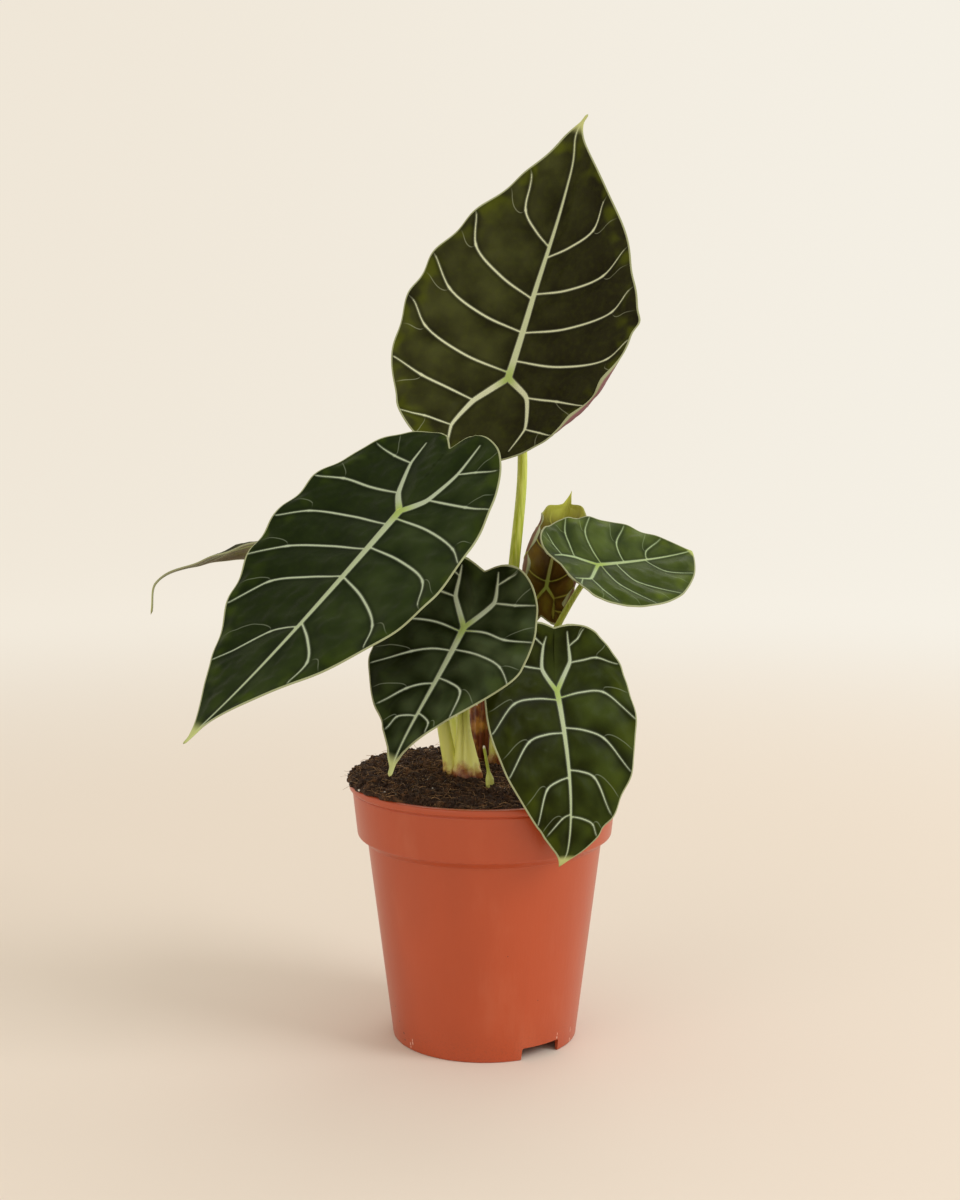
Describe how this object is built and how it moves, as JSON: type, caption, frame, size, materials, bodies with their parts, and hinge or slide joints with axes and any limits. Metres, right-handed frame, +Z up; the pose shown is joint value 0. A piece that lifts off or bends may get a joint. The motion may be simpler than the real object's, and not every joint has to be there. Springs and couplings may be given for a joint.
{
  "type": "potted plant",
  "caption": "Aroid house plant with big arrow-shaped, silver-veined leaves on upright petioles, growing in a soil-filled tapered plastic nursery pot.",
  "frame": {"origin": "bottom centre of the bounding box, on the plane that the pot stands on", "axes": "+Z up; -Y towards the front, which the big leaves face; +X to the right in the front view"},
  "size_m": [0.2442, 0.2034, 0.4052],
  "materials": {
    "pot": "satin terracotta-coloured plastic",
    "soil": "rough, fibrous and matt",
    "blade_brown_green": "satin with silver veins",
    "blade_dark_green": "satin with silver veins",
    "blade_mid_green": "satin with silver veins",
    "blade_pale_green": "satin with silver veins",
    "blade_young_brown": "satin with pale veins",
    "blade_olive": "satin",
    "petiole": "smooth and slightly glossy",
    "papery_sheath": "dry and papery",
    "shoot": "smooth"
  },
  "bodies": {
    "root": {"pot": "pot", "soil": "soil", "blade_top": "blade_brown_green", "blade_left": "blade_dark_green", "blade_centre": "blade_dark_green", "blade_lower_right": "blade_mid_green", "blade_right": "blade_pale_green", "blade_young": "blade_young_brown", "blade_far_left": "blade_olive", "petiole_top": "petiole", "petiole_left": "petiole", "petiole_centre": "petiole", "petiole_lower_right": "petiole", "petiole_right": "petiole", "petiole_young": "petiole", "petiole_far_left": "petiole", "papery_sheath": "papery_sheath", "shoot": "shoot"}
  },
  "joints": []
}
